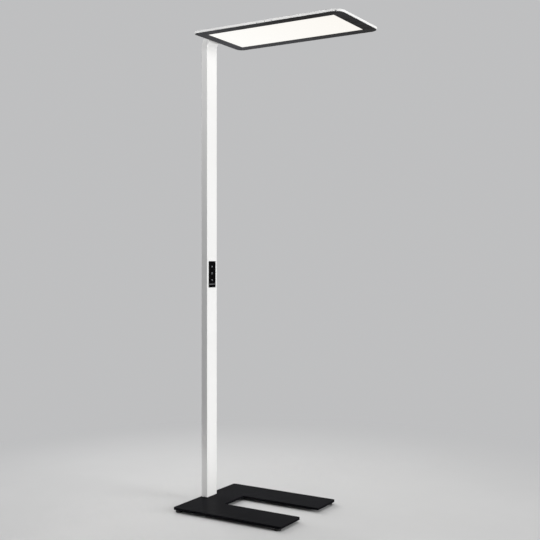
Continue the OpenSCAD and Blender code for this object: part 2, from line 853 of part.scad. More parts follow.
module control_housing() color([0.12, 0.12, 0.12]) placed() difference() {
    union() {
        upright(housing_back, housing_floor, control_z) round_rect(panel_h, panel_w, panel_r);
        upright(housing_floor, panel_back, control_z) round_ring(panel_h, panel_w, panel_r, housing_wall);
        for (y = boss_ys, z = boss_zs) {
            rod_x(housing_floor, board_back, y, z, boss_d);
        }
    }
    for (y = boss_ys, z = boss_zs) {
        rod_x(housing_floor, board_back + cut, y, z, board_screw_d + 2 * screw_gap);
    }
}

module control_board() color([0.1, 0.35, 0.2]) placed() difference() {
    upright(board_back, board_face, control_z) round_rect(board_h, board_w, panel_r - housing_wall);
    for (y = boss_ys, z = boss_zs) {
        rod_x(board_back - cut, board_face + cut, y, z, board_screw_d + 2 * screw_gap);
    }
}

module board_screws() color([0.75, 0.75, 0.76]) placed() for (y = boss_ys, z = boss_zs) {
    rod_x(board_face, board_face + board_screw_head_h, y, z, board_screw_head_d);
    rod_x(housing_floor, board_face, y, z, board_screw_d);
}

module key_switches() color([0.2, 0.2, 0.22]) placed() for (z = key_zs) {
    difference() {
        upright(board_face, switch_face, z) square(switch_side, center = true);
        rod_x(stem_end - key_travel - slide_gap, switch_face + cut, 0, z, stem_d + 2 * stem_gap);
    }
}

module control_lead() color([0.15, 0.15, 0.16]) placed()
    rod_z(housing_back + control_lead_d / 2, control_lead_y, driver_top, control_z - panel_h / 2,
          control_lead_d);

// Lead from the driver to the head

module head_lead() color([0.12, 0.12, 0.12]) placed() {
    rod_z(lead_post_x, 0, driver_top, bend_z, head_lead_d);
    bend_up(lead_bend_r) circle(d = head_lead_d);
    rod_x(bend_x, lead_x - lead_turn_r, 0, lead_arm_z, head_lead_d);
    translate([lead_x - lead_turn_r, 0, lead_arm_z - lead_turn_r]) rotate([90, 0, 0])
        rotate_extrude(angle = 90) translate([lead_turn_r, 0]) circle(d = head_lead_d);
    rod_z(lead_x, 0, shell_under, lead_arm_z - lead_turn_r, head_lead_d);
}

module lead_grommet() color([0.04, 0.04, 0.04]) placed() difference() {
    union() {
        rod_z(lead_x, 0, shell_under, arm_floor, lead_hole_d - 2 * screw_gap);
        rod_z(lead_x, 0, arm_floor, arm_floor + cap_t, lead_hole_d + 2 * grommet_wall);
    }
    rod_z(lead_x, 0, shell_under - cut, arm_floor + cap_t + cut, head_lead_d + 2 * insert_gap);
}

// Arm joint

module arm_nut_bar() color([0.6, 0.61, 0.62]) placed() difference() {
    box([mount_plate_back, -nut_bar_w / 2, arm_floor],
        [mount_plate_front, nut_bar_w / 2, arm_floor + nut_bar_t]);
    at_arm_screws() cylinder(h = arm_screw_l + cut, d = arm_screw_d + 2 * screw_gap);
}

module arm_end_cap() color([0.82, 0.82, 0.81]) placed() {
    upright(arm_end, arm_end + cap_t, arm_mid) round_rect(post_d, post_w, post_corner_r);
    upright(arm_end - cap_plug_l, arm_end, arm_mid)
        round_ring(inner_d - 2 * insert_gap, inner_w - 2 * insert_gap, inner_r, cap_plug_wall);
}

module arm_mount_plate() color([0.55, 0.56, 0.57]) placed() difference() {
    box([mount_plate_back, -mount_plate_w / 2, rim_top],
        [mount_plate_front, mount_plate_w / 2, cover_under]);
    arm_screw_holes();
}

module arm_screws() color([0.3, 0.3, 0.32]) placed() at_arm_screws()
    sunk_screw(arm_screw_l, arm_screw_d, arm_screw_head_d, arm_screw_head_h);

// Head

// The head's outline in plan with its edge pulled in
module head_outline(pull) {
    front_r = head_corner_r - pull;
    rear_r = head_rear_r - pull;
    translate([-front_r / 2, 0]) round_rect(head_l - 2 * pull - front_r, head_w - 2 * pull, rear_r);
    translate([rear_r / 2, 0]) round_rect(head_l - 2 * pull - rear_r, head_w - 2 * pull, front_r);
}

module head_shell() color([0.86, 0.86, 0.85]) placed() difference() {
    flat(head_mid, rim_bottom, rim_top) head_outline(0);
    flat(head_mid, rim_bottom - cut, shell_under) head_outline(rim_t);
    arm_screw_holes();
    lead_hole(shell_under, rim_top);
    for (s = [-1, 1]) {
        rod_z(uplight_branch_x, s * uplight_branch_y, shell_under - cut, rim_top + cut,
              branch_lead_d + 2 * insert_gap);
        translate([head_front - head_corner_r, s * (head_w / 2 - head_corner_r), rim_bottom - cut])
            rotate([0, 0, s * pry_angle]) translate([head_corner_r - rim_t - cut, -pry_w / 2, 0])
                cube([rim_t + 2 * cut, pry_w, pry_h + cut]);
        translate([sensor_x + s * sensor_l / 2, sensor_face, rim_bottom])
            box([-pry_w / 2, -cut, -cut], [pry_w / 2, rim_t + cut, pry_h]);
    }
    box([sensor_x - sensor_half, sensor_face - cut, rim_bottom - cut],
        [sensor_x + sensor_half, sensor_face + rim_t + cut, rim_bottom + sensor_h]);
}

module head_cover() color([0.86, 0.86, 0.85]) placed() difference() {
    flat(cover_mid, rim_top, arm_under) round_rect(cover_l, cover_w, cover_r);
    flat(cover_mid, rim_top - cut, cover_under)
        round_rect(cover_l - 2 * cover_t, cover_w - 2 * cover_t, cover_r - cover_t);
    for (s = [-1, 1]) {
        translate([0, s * window_y, 0]) flat(window_x, cover_under - cut, arm_under + cut)
            round_rect(window_l, window_w, window_r);
    }
    arm_screw_holes();
    lead_hole(cover_under, arm_under);
}

module uplight_windows() color([0.92, 0.93, 0.93]) placed() for (s = [-1, 1]) {
    translate([0, s * window_y, 0]) {
        flat(window_x, cover_under, arm_under)
            round_rect(window_l - 2 * insert_gap, window_w - 2 * insert_gap, window_r - insert_gap);
        flat(window_x, cover_under - lens_lap_t, cover_under)
            round_rect(window_l + 2 * window_lap, window_w + 2 * window_lap, window_r + window_lap);
    }
}

module uplight_boards() color([0.9, 0.9, 0.88]) placed() for (s = [-1, 1]) {
    translate([0, s * window_y, 0])
        flat(window_x, rim_top, rim_top + uplight_board_t) square([window_l, window_w], center = true);
}

module uplight_emitters() color([0.95, 0.9, 0.6]) placed()
    for (s = [-1, 1], row = [-1, 1], i = [0 : uplight_count - 1]) {
        translate([window_x - window_l / 2 + (i + 0.5) * uplight_step, s * window_y + row * window_w / 4,
                   rim_top + uplight_board_t])
            linear_extrude(uplight_chip_t) square(uplight_side, center = true);
    }

// Lead that runs across the head and turns forward to its board, on the side s
module branch_lead(x, z, s, y_start, y_end, x_end) {
    mirror([0, (1 - s) / 2, 0]) {
        rod_y(x, y_start, y_end - branch_turn_r, z, branch_lead_d);
        translate([x + branch_turn_r, y_end - branch_turn_r, z]) rotate([0, 0, 90])
            rotate_extrude(angle = 90) translate([branch_turn_r, 0]) circle(d = branch_lead_d);
        rod_x(x + branch_turn_r, x_end, y_end, z, branch_lead_d);
    }
}

module uplight_leads() color([0.8, 0.1, 0.1]) placed() for (s = [-1, 1]) {
    branch_lead(uplight_branch_x, uplight_branch_z, s, uplight_branch_y, window_y, window_x - window_l / 2);
    rod_z(uplight_branch_x, s * uplight_branch_y, shell_under, uplight_branch_z, branch_lead_d);
}

module head_junction() color([0.15, 0.15, 0.16]) placed()
    box([junction_front - junction_l, -junction_w / 2, junction_z],
        [junction_front, junction_w / 2, shell_under]);

module strip_leads() color([0.8, 0.1, 0.1]) placed() for (s = [-1, 1]) {
    branch_lead(branch_x, strip_branch_z, s, junction_w / 2, strip_branch_y, open_mid - strip_l / 2);
}

module head_bezel() color([0.2, 0.2, 0.22]) placed() difference() {
    flat(head_mid, rim_bottom, bezel_top) head_outline(rim_t + insert_gap);
    flat(open_mid, rim_bottom - cut, bezel_top + cut) square([open_l, open_w], center = true);
    box([sensor_x - sensor_half, sensor_face, rim_bottom - cut],
        [sensor_x + sensor_half, sensor_back + insert_gap, bezel_top + cut]);
}

module bezel_magnets() color([0.7, 0.7, 0.72]) placed()
    for (x = [-magnet_x, -magnet_x / 3, magnet_x / 3, magnet_x], s = [-1, 1]) {
        rod_z(head_mid + x, s * magnet_y, bezel_top, shell_under, magnet_d);
    }

module guide_layer(z_low, z_high) {
    flat(open_mid, z_low, z_high) square([guide_l, guide_w], center = true);
}

module diffuser() color([0.98, 0.97, 0.94]) placed() guide_layer(bezel_top, diffuser_top);

module light_guide() color([0.85, 0.92, 0.95]) placed() guide_layer(diffuser_top, guide_top);

module reflector_sheet() color([0.97, 0.97, 0.97]) placed() guide_layer(guide_top, reflector_top);

module foam_pad() color([0.3, 0.3, 0.3]) placed() guide_layer(reflector_top, shell_under);

module strip_rails() color([0.7, 0.71, 0.72]) placed() for (s = [-1, 1]) {
    translate([0, s * (rail_y + rail_w / 2), 0])
        flat(open_mid, bezel_top, shell_under) square([strip_l, rail_w], center = true);
}

module light_strips() color([0.92, 0.92, 0.9]) placed() for (s = [-1, 1]) {
    translate([0, s * (strip_y + strip_t / 2), 0])
        flat(open_mid, strip_z, strip_z + strip_h) square([strip_l, strip_t], center = true);
}

module strip_emitters() color([0.95, 0.9, 0.6]) placed() for (s = [-1, 1], i = [0 : emitter_count - 1]) {
    translate([open_mid - strip_l / 2 + (i + 0.5) * emitter_step, s * (strip_y - emitter_t / 2),
               strip_z + strip_h / 2])
        cube([emitter_side, emitter_t, emitter_side], center = true);
}

// Sensor in the near rim

module sensor_insert() color([0.8, 0.8, 0.79]) placed() difference() {
    box([sensor_x - sensor_half + insert_gap, sensor_face, rim_bottom],
        [sensor_x + sensor_half - insert_gap, sensor_back, rim_bottom + sensor_h - insert_gap]);
    rod_y(lens_x, sensor_face - cut, sensor_back + cut, lens_z, lens_d + 2 * screw_gap);
}

module sensor_lens() color([0.02, 0.02, 0.03]) placed()
    rod_y(lens_x, sensor_face, sensor_back, lens_z, lens_d);

module sensor_board() color([0.1, 0.35, 0.2]) placed()
    box([sensor_x - sensor_board_l / 2, sensor_back, bezel_top],
        [sensor_x + sensor_board_l / 2, sensor_back + board_t, bezel_top + sensor_board_h]);

base_plate();
foot_pads();
foot_screws();
post_gasket();
post_block();
post_bolts();
post_tube();
block_screws();
mains_inlet();
inlet_blades();
inlet_screws();
mains_lead();
led_driver();
driver_tray();
tray_screws();
control_frame();
control_clips();
control_panel();
control_housing();
control_board();
board_screws();
key_switches();
key_up();
key_power();
key_down();
icon_up();
icon_power();
icon_down();
status_light();
control_lead();
head_lead();
lead_grommet();
arm_nut_bar();
arm_end_cap();
arm_mount_plate();
arm_screws();
head_shell();
head_cover();
uplight_windows();
uplight_boards();
uplight_emitters();
uplight_leads();
head_junction();
strip_leads();
head_bezel();
bezel_magnets();
diffuser();
light_guide();
reflector_sheet();
foam_pad();
strip_rails();
light_strips();
strip_emitters();
sensor_insert();
sensor_lens();
sensor_board();
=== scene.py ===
import json
import math

import bmesh
import bpy
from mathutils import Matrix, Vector


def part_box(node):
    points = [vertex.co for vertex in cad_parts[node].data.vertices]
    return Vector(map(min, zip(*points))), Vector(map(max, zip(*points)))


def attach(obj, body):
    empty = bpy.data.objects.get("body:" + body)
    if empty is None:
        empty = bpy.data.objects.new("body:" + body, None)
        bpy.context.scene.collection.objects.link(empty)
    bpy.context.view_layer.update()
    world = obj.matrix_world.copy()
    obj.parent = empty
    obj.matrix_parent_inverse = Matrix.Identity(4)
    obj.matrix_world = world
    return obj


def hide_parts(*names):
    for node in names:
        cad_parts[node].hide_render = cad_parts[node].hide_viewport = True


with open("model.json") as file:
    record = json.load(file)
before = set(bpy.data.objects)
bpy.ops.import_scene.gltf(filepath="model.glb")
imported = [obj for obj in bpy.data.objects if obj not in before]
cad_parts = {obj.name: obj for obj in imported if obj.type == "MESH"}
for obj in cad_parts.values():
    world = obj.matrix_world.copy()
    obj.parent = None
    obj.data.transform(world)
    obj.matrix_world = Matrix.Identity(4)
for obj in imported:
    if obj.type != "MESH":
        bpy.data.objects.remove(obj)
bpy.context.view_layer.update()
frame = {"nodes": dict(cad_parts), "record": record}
nodes = frame["nodes"]
scene = bpy.context.scene


# materials

noiseRoughness = 0.55
noiseSpan = (0.3, 0.7)  # nearly all of a noise's values
firstColour, secondColour, mixedColour = 6, 7, 2  # the colour sockets of a mix node


def addNode(tree, kind, sockets=None, **settings):
    made = tree.nodes.new(kind)
    for key, value in settings.items():
        setattr(made, key, value)
    for key, value in (sockets or {}).items():
        made.inputs[key].default_value = value
    return made


def rgba(colour):
    return (*colour, 1.0)


def startMaterial(name):
    material = bpy.data.materials.new(name)
    material.use_nodes = True
    tree = material.node_tree
    tree.nodes.clear()
    shader = addNode(tree, "ShaderNodeBsdfPrincipled")
    output = addNode(tree, "ShaderNodeOutputMaterial")
    tree.links.new(shader.outputs["BSDF"], output.inputs["Surface"])
    place = addNode(tree, "ShaderNodeTexCoord")
    return material, tree, shader, place.outputs["Object"]


# noise of so many cells per metre, drawn out along the directions where stretch is low
def noiseOf(tree, place, scale, stretch=(1, 1, 1), shift=(0, 0, 0), detail=3.0):
    mapping = addNode(tree, "ShaderNodeMapping", {"Scale": stretch, "Location": shift})
    noise = addNode(tree, "ShaderNodeTexNoise",
                    {"Scale": scale, "Detail": detail, "Roughness": noiseRoughness})
    tree.links.new(place, mapping.inputs["Vector"])
    tree.links.new(mapping.outputs["Vector"], noise.inputs["Vector"])
    return noise.outputs["Fac"]


# a value between fromLow and fromHigh, brought to the range from low to high
def rangeOf(tree, value, low, high, fromLow=noiseSpan[0], fromHigh=noiseSpan[1]):
    spread = addNode(tree, "ShaderNodeMapRange", {"From Min": fromLow, "From Max": fromHigh,
                                                  "To Min": low, "To Max": high})
    tree.links.new(value, spread.inputs["Value"])
    return spread.outputs["Result"]


def mixOf(tree, factor, first, second):
    mix = addNode(tree, "ShaderNodeMix", data_type="RGBA")
    tree.links.new(factor, mix.inputs["Factor"])
    for index, colour in ((firstColour, first), (secondColour, second)):
        if isinstance(colour, tuple):
            mix.inputs[index].default_value = rgba(colour)
        else:
            tree.links.new(colour, mix.inputs[index])
    return mix.outputs[mixedColour]


def bumpOf(tree, height, depth, before=None):
    bump = addNode(tree, "ShaderNodeBump", {"Strength": 1.0, "Distance": depth})
    tree.links.new(height, bump.inputs["Height"])
    if before is not None:
        tree.links.new(before, bump.inputs["Normal"])
    return bump.outputs["Normal"]


# what a look takes where it says nothing else
plainLook = dict(shift=(0, 0, 0), stretch=(1, 1, 1), metal=0.0, specular=0.5, coat=0.0, coatRough=0.1)
surfaceSockets = dict(metal="Metallic", specular="Specular IOR Level", coat="Coat Weight",
                      coatRough="Coat Roughness")


# one finish: a colour that drifts between two tones, roughness that follows the grain, and a fine relief
def finishOf(name, look):
    look = dict(plainLook, **look)
    material, tree, shader, place = startMaterial(name)
    drift = noiseOf(tree, place, look["patch"], shift=look["shift"])
    colour = mixOf(tree, rangeOf(tree, drift, 0.0, 1.0), *look["tones"])
    if "streak" in look:  # fine brushed lines of a lighter tone
        streak = look["streak"]
        strands = noiseOf(tree, place, streak["scale"], streak["stretch"])
        lines = rangeOf(tree, strands, 0.0, streak["most"], *streak["span"])
        colour = mixOf(tree, lines, colour, streak["tone"])
    tree.links.new(colour, shader.inputs["Base Color"])
    grain = noiseOf(tree, place, look["grain"], look["stretch"])
    tree.links.new(rangeOf(tree, grain, *look["rough"]), shader.inputs["Roughness"])
    relief = bumpOf(tree, grain, look["depth"])
    if "orange" in look:  # the long soft waves of a sprayed coat
        waves = noiseOf(tree, place, look["orange"]["scale"])
        relief = bumpOf(tree, waves, look["orange"]["depth"], relief)
    tree.links.new(relief, shader.inputs["Normal"])
    for key, socket in surfaceSockets.items():
        shader.inputs[socket].default_value = look[key]
    return material


paintLook = dict(tones=((0.80, 0.797, 0.785), (0.835, 0.832, 0.822)), patch=5, grain=160,
                 stretch=(6, 6, 0.25), rough=(0.33, 0.43), depth=0.000012,
                 orange=dict(scale=900, depth=0.000008))
headPaintLook = dict(paintLook, stretch=(0.5, 5, 5), rough=(0.36, 0.42), depth=0.000004,
                     orange=dict(scale=900, depth=0.000003))
baseLook = dict(tones=((0.0045, 0.0045, 0.0056), (0.0075, 0.0075, 0.009)), patch=7, grain=1600,
                rough=(0.3, 0.4), depth=0.00002, specular=0.006,
                orange=dict(scale=260, depth=0.00002))
rubberLook = dict(tones=((0.012, 0.012, 0.012), (0.022, 0.022, 0.022)), patch=30, grain=2200,
                  rough=(0.7, 0.85), depth=0.00004, specular=0.3)
# bezel: its tone drift is painted reflection; the light bluish and dark brownish patches, placed by shift,
# stand in for reflections in the brushed metal; the streaks are its brushed lines
bezelReflectionLook = dict(tones=((0.012, 0.0105, 0.0095), (0.105, 0.106, 0.116)), patch=2.6,
                 shift=(5.2, 4.7, 0.2), grain=420, stretch=(0.06, 4, 4), rough=(0.22, 0.34),
                 depth=0.00002, specular=0.004,
                 streak=dict(scale=260, stretch=(0.03, 1, 1), tone=(0.16, 0.16, 0.165), most=0.3,
                             span=(0.4, 0.75)))
glossLook = dict(tones=((0.0009, 0.0009, 0.0011), (0.0016, 0.0016, 0.0019)), patch=20, grain=60,
                 rough=(0.05, 0.1), depth=0.000002, specular=0.02)
frameLook = dict(tones=((0.74, 0.74, 0.74), (0.82, 0.82, 0.815)), patch=40, grain=900,
                 stretch=(1, 1, 0.1), rough=(0.26, 0.32), depth=0.000002, metal=0.1)
iconLook = dict(tones=((0.19, 0.195, 0.205), (0.24, 0.245, 0.255)), patch=300, grain=2500,
                rough=(0.35, 0.45), depth=0.000004)
statusLook = dict(tones=((0.17, 0.173, 0.178), (0.24, 0.243, 0.25)), patch=60, grain=2500,
                  rough=(0.3, 0.4), depth=0.000004)
mouldedLook = dict(tones=((0.014, 0.014, 0.015), (0.022, 0.022, 0.023)), patch=60, grain=3000,
                   rough=(0.45, 0.6), depth=0.00003)
brassLook = dict(tones=((0.62, 0.46, 0.19), (0.74, 0.58, 0.27)), patch=150, grain=1500,
                 stretch=(0.1, 1, 1), rough=(0.22, 0.34), depth=0.00001, metal=1.0)
steelLook = dict(tones=((0.40, 0.405, 0.41), (0.50, 0.505, 0.51)), patch=40, grain=900,
                 stretch=(0.08, 1, 1), rough=(0.28, 0.42), depth=0.00002, metal=1.0)
oxideLook = dict(tones=((0.05, 0.05, 0.055), (0.085, 0.085, 0.09)), patch=200, grain=1800,
                 rough=(0.38, 0.52), depth=0.00001, metal=0.8)
zincLook = dict(tones=((0.58, 0.58, 0.59), (0.68, 0.68, 0.685)), patch=260, grain=2400,
                rough=(0.24, 0.36), depth=0.00001, metal=1.0)
aluminiumLook = dict(tones=((0.62, 0.63, 0.64), (0.70, 0.71, 0.72)), patch=25, grain=1200,
                     stretch=(1, 1, 0.04), rough=(0.3, 0.42), depth=0.00002, metal=1.0)
driverLook = dict(tones=((0.78, 0.78, 0.765), (0.83, 0.83, 0.815)), patch=15, grain=2600,
                  rough=(0.42, 0.55), depth=0.00002)
blackLeadLook = dict(tones=((0.014, 0.014, 0.014), (0.024, 0.024, 0.024)), patch=50, grain=1800,
                     stretch=(1, 1, 0.3), rough=(0.4, 0.52), depth=0.00002)
redLeadLook = dict(tones=((0.42, 0.025, 0.02), (0.52, 0.04, 0.03)), patch=60, grain=1800,
                   rough=(0.35, 0.45), depth=0.00001)
foilLook = dict(tones=((0.9, 0.9, 0.895), (0.95, 0.95, 0.945)), patch=12, grain=1500,
                rough=(0.5, 0.65), depth=0.00001)
foamLook = dict(tones=((0.085, 0.085, 0.088), (0.14, 0.14, 0.145)), patch=500, grain=1400,
                rough=(0.85, 0.98), depth=0.0002, specular=0.2)
lensLook = dict(tones=((0.004, 0.004, 0.006), (0.008, 0.008, 0.012)), patch=300, grain=1500,
                rough=(0.04, 0.08), depth=0.000002, coat=0.6, coatRough=0.03)


# printed board: a mask of one colour with tracks in another
boardLook = dict(track=420, trackEdge=(0.42, 0.46), grain=190, rough=(0.3, 0.45), depth=0.00003)


def boardOf(name, mask, copper):
    material, tree, shader, place = startMaterial(name)
    tracks = addNode(tree, "ShaderNodeTexVoronoi", {"Scale": boardLook["track"]},
                     distance="MANHATTAN")
    tree.links.new(place, tracks.inputs["Vector"])
    lines = rangeOf(tree, tracks.outputs["Distance"], 0.0, 1.0, *boardLook["trackEdge"])
    tree.links.new(mixOf(tree, lines, mask, copper), shader.inputs["Base Color"])
    grain = noiseOf(tree, place, boardLook["grain"])
    tree.links.new(rangeOf(tree, grain, *boardLook["rough"]), shader.inputs["Roughness"])
    tree.links.new(bumpOf(tree, lines, boardLook["depth"]), shader.inputs["Normal"])
    return material


# opal sheet lit from behind: fine prisms, and a light that is a little warmer towards the front
diffuserLook = dict(near=(0.90, 0.89, 0.86), far=(0.88, 0.85, 0.80), body=(0.08, 0.08, 0.078),
                    strength=1.0, prism=450, prismShade=0.97, prismEdge=(0.6, 0.2), prismDepth=0.0003,
                    grain=300, rough=(0.35, 0.5))


def diffuserOf(name, low, high):
    material, tree, shader, place = startMaterial(name)
    split = addNode(tree, "ShaderNodeSeparateXYZ")
    tree.links.new(place, split.inputs["Vector"])
    along = rangeOf(tree, split.outputs["X"], 0.0, 1.0, low.x, high.x)
    glow = mixOf(tree, along, diffuserLook["near"], diffuserLook["far"])
    prisms = addNode(tree, "ShaderNodeTexVoronoi",
                     {"Scale": diffuserLook["prism"], "Randomness": 0.0})
    tree.links.new(place, prisms.inputs["Vector"])
    cell = rangeOf(tree, prisms.outputs["Distance"], diffuserLook["prismShade"], 1.0,
                   *diffuserLook["prismEdge"])
    shade = addNode(tree, "ShaderNodeMix", {"Factor": 1.0}, data_type="RGBA",
                    blend_type="MULTIPLY")
    tree.links.new(glow, shade.inputs[firstColour])
    tree.links.new(cell, shade.inputs[secondColour])
    tree.links.new(shade.outputs[mixedColour], shader.inputs["Emission Color"])
    shader.inputs["Emission Strength"].default_value = diffuserLook["strength"]
    shader.inputs["Base Color"].default_value = rgba(diffuserLook["body"])
    grain = noiseOf(tree, place, diffuserLook["grain"])
    tree.links.new(rangeOf(tree, grain, *diffuserLook["rough"]), shader.inputs["Roughness"])
    tree.links.new(bumpOf(tree, cell, diffuserLook["prismDepth"]), shader.inputs["Normal"])
    return material


# frosted window over rows of emitters, which show through it as soft spots
windowLook = dict(body=(0.80, 0.81, 0.81), spots=(0.16, 0.16, 0.155), between=(0.06, 0.06, 0.058),
                  strength=1.0, waves=(-1.0, 2.0), grain=2400, rough=(0.45, 0.62), depth=0.00003)


def windowOf(name, low, high, columns, rows):
    material, tree, shader, place = startMaterial(name)
    split = addNode(tree, "ShaderNodeSeparateXYZ")
    tree.links.new(place, split.inputs["Vector"])
    waves = []
    for axis, count, start, end in (("X", columns, low.x, high.x), ("Y", rows, low.y, high.y)):
        rate = 2 * math.pi * (count - 1) / (end - start)
        turn = addNode(tree, "ShaderNodeMath", operation="MULTIPLY_ADD")
        turn.inputs[1].default_value = rate
        turn.inputs[2].default_value = -rate * start
        wave = addNode(tree, "ShaderNodeMath", operation="COSINE")
        tree.links.new(split.outputs[axis], turn.inputs[0])
        tree.links.new(turn.outputs[0], wave.inputs[0])
        waves.append(wave.outputs[0])
    both = addNode(tree, "ShaderNodeMath", operation="ADD")
    tree.links.new(waves[0], both.inputs[0])
    tree.links.new(waves[1], both.inputs[1])
    spots = rangeOf(tree, both.outputs[0], 0.0, 1.0, *windowLook["waves"])
    glow = mixOf(tree, spots, windowLook["between"], windowLook["spots"])
    tree.links.new(glow, shader.inputs["Emission Color"])
    shader.inputs["Emission Strength"].default_value = windowLook["strength"]
    shader.inputs["Base Color"].default_value = rgba(windowLook["body"])
    frost = noiseOf(tree, place, windowLook["grain"])
    tree.links.new(rangeOf(tree, frost, *windowLook["rough"]), shader.inputs["Roughness"])
    tree.links.new(bumpOf(tree, frost, windowLook["depth"]), shader.inputs["Normal"])
    return material


# emitter: yellow phosphor in a white case
emitterLook = dict(case=(0.85, 0.85, 0.82), phosphor=(0.9, 0.72, 0.2), glow=(0.9, 0.86, 0.74),
                   strength=0.6, grain=900, rough=(0.3, 0.5))


def emitterOf(name):
    material, tree, shader, place = startMaterial(name)
    grain = noiseOf(tree, place, emitterLook["grain"])
    speckle = rangeOf(tree, grain, 0.0, 1.0)
    for tone, socket in (("phosphor", "Base Color"), ("glow", "Emission Color")):
        tree.links.new(mixOf(tree, speckle, emitterLook[tone], emitterLook["case"]), shader.inputs[socket])
    shader.inputs["Emission Strength"].default_value = emitterLook["strength"]
    tree.links.new(rangeOf(tree, grain, *emitterLook["rough"]), shader.inputs["Roughness"])
    return material


# clear sheet with a grid of printed dots
guideLook = dict(clear=(0.88, 0.94, 0.95), dots=(0.92, 0.93, 0.92), pitch=400, dotEdge=(0.2, 0.26),
                 rough=(0.04, 0.5), clearness=0.9, refraction=1.49)


def guideOf(name):
    material, tree, shader, place = startMaterial(name)
    cells = addNode(tree, "ShaderNodeTexVoronoi",
                    {"Scale": guideLook["pitch"], "Randomness": 0.0})
    tree.links.new(place, cells.inputs["Vector"])
    dots = rangeOf(tree, cells.outputs["Distance"], 1.0, 0.0, *guideLook["dotEdge"])
    tree.links.new(mixOf(tree, dots, guideLook["clear"], guideLook["dots"]), shader.inputs["Base Color"])
    tree.links.new(rangeOf(tree, dots, *guideLook["rough"], 0.0, 1.0), shader.inputs["Roughness"])
    shader.inputs["Transmission Weight"].default_value = guideLook["clearness"]
    shader.inputs["IOR"].default_value = guideLook["refraction"]
    return material


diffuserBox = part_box("diffuser")
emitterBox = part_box("uplight_emitters")
paint = finishOf("satinPaintPost", paintLook)
headPaint = finishOf("satinPaintHead", headPaintLook)
steel = finishOf("machinedSteel", steelLook)
zinc = finishOf("zincScrew", zincLook)
aluminium = finishOf("millAluminium", aluminiumLook)
oxide = finishOf("blackOxide", oxideLook)
moulded = finishOf("mouldedBlack", mouldedLook)
rubber = finishOf("blackRubber", rubberLook)
gloss = finishOf("glossBlack", glossLook)
icons = finishOf("greyInlay", iconLook)
blackLead = finishOf("blackSheath", blackLeadLook)
redLead = finishOf("redSheath", redLeadLook)
greenBoard = boardOf("greenBoard", mask=(0.02, 0.13, 0.06), copper=(0.06, 0.24, 0.12))
whiteBoard = boardOf("whiteBoard", mask=(0.78, 0.78, 0.75), copper=(0.66, 0.64, 0.58))
emitter = emitterOf("phosphorEmitter")
finishes = {
    paint: ["post_tube", "arm_end_cap"],
    headPaint: ["head_shell", "head_cover", "sensor_insert"],
    finishOf("blackPowderCoat", baseLook): ["base_plate"],
    rubber: ["foot_pads", "post_gasket", "lead_grommet"],
    steel: ["post_block", "arm_nut_bar", "arm_mount_plate", "control_clips", "bezel_magnets"],
    oxide: ["post_bolts", "arm_screws"],
    zinc: ["foot_screws", "block_screws", "inlet_screws", "tray_screws", "board_screws"],
    aluminium: ["driver_tray", "strip_rails"],
    moulded: ["mains_inlet", "control_housing", "head_junction", "key_switches"],
    finishOf("contactBrass", brassLook): ["inlet_blades"],
    finishOf("driverCase", driverLook): ["led_driver"],
    blackLead: ["mains_lead", "control_lead", "head_lead"],
    redLead: ["uplight_leads", "strip_leads"],
    finishOf("brightFrame", frameLook): ["control_frame"],
    gloss: ["control_panel", "key_up", "key_power", "key_down"],
    icons: ["icon_up", "icon_power", "icon_down"],
    finishOf("statusBar", statusLook): ["status_light"],
    greenBoard: ["control_board", "sensor_board"],
    whiteBoard: ["light_strips", "uplight_boards"],
    emitter: ["strip_emitters", "uplight_emitters"],
    # the bezel's drifting tone is painted reflection
    finishOf("brushedBezelPaintedReflection", bezelReflectionLook): ["head_bezel"],
    diffuserOf("litDiffuser", *diffuserBox): ["diffuser"],
    windowOf("frostedWindow", *emitterBox, columns=16, rows=2): ["uplight_windows"],
    guideOf("clearGuide"): ["light_guide"],
    finishOf("whiteFoil", foilLook): ["reflector_sheet"],
    finishOf("closedCellFoam", foamLook): ["foam_pad"],
    finishOf("tintedLens", lensLook): ["sensor_lens"],
}
materialFor = {}
for material, names in finishes.items():
    for name in names:
        materialFor[name] = material
        nodes[name].data.materials.clear()
        nodes[name].data.materials.append(material)
print("materials:", len(finishes), "on", len(materialFor), "nodes")


# pieces with eased edges, in place of the sharp-edged solids

record = frame["record"]
bodyOf = {name: body for body, names in record["behaviour"]["bodies"].items() for name in names}
easing = dict(weld=0.000002, flat=math.radians(0.2), corner=math.radians(30), steps=3)


def easedPiece(name, node, edge):
    mesh = bpy.data.meshes.new(name)
    form = bmesh.new()
    form.from_mesh(nodes[node].data)
    bmesh.ops.remove_doubles(form, verts=form.verts, dist=easing["weld"])
    bmesh.ops.dissolve_limit(form, angle_limit=easing["flat"], verts=form.verts, edges=form.edges)
    for face in form.faces:
        face.smooth = True
    form.to_mesh(mesh)
    form.free()
    if "custom_normal" in mesh.attributes:
        mesh.attributes.remove(mesh.attributes["custom_normal"])
    mesh.materials.clear()
    mesh.materials.append(materialFor[node])
    piece = bpy.data.objects.new(name, mesh)
    scene.collection.objects.link(piece)
    bevel = piece.modifiers.new("easedEdges", "BEVEL")
    bevel.width = edge
    bevel.segments = easing["steps"]
    bevel.limit_method = "ANGLE"
    bevel.angle_limit = easing["corner"]
    bevel.harden_normals = True
    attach(piece, bodyOf[node])
    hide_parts(node)


# each node's new piece and the width of its eased edges
easedEdges = dict(
    base_plate=("basePlate", 0.0012),
    foot_pads=("footPads", 0.0006),
    arm_end_cap=("armEndCap", 0.0006),
    head_shell=("headShell", 0.0003),
    head_cover=("headCover", 0.0005),
    head_bezel=("headBezel", 0.0003),
    uplight_windows=("uplightWindows", 0.0004),
    control_frame=("controlFrame", 0.00035),
    control_panel=("controlPanel", 0.0002),
    key_up=("keyUp", 0.00035),
    key_power=("keyPower", 0.00035),
    key_down=("keyDown", 0.00035),
    mains_inlet=("mainsInlet", 0.0003),
    sensor_insert=("sensorInsert", 0.0002),
)
for node, (name, edge) in easedEdges.items():
    easedPiece(name, node, edge)
print("eased pieces:", len(easedEdges))


# floor, light and camera

skyLook = dict(seen=(0.52, 0.522, 0.528), cast=(0.235, 0.237, 0.242), strength=1.0)


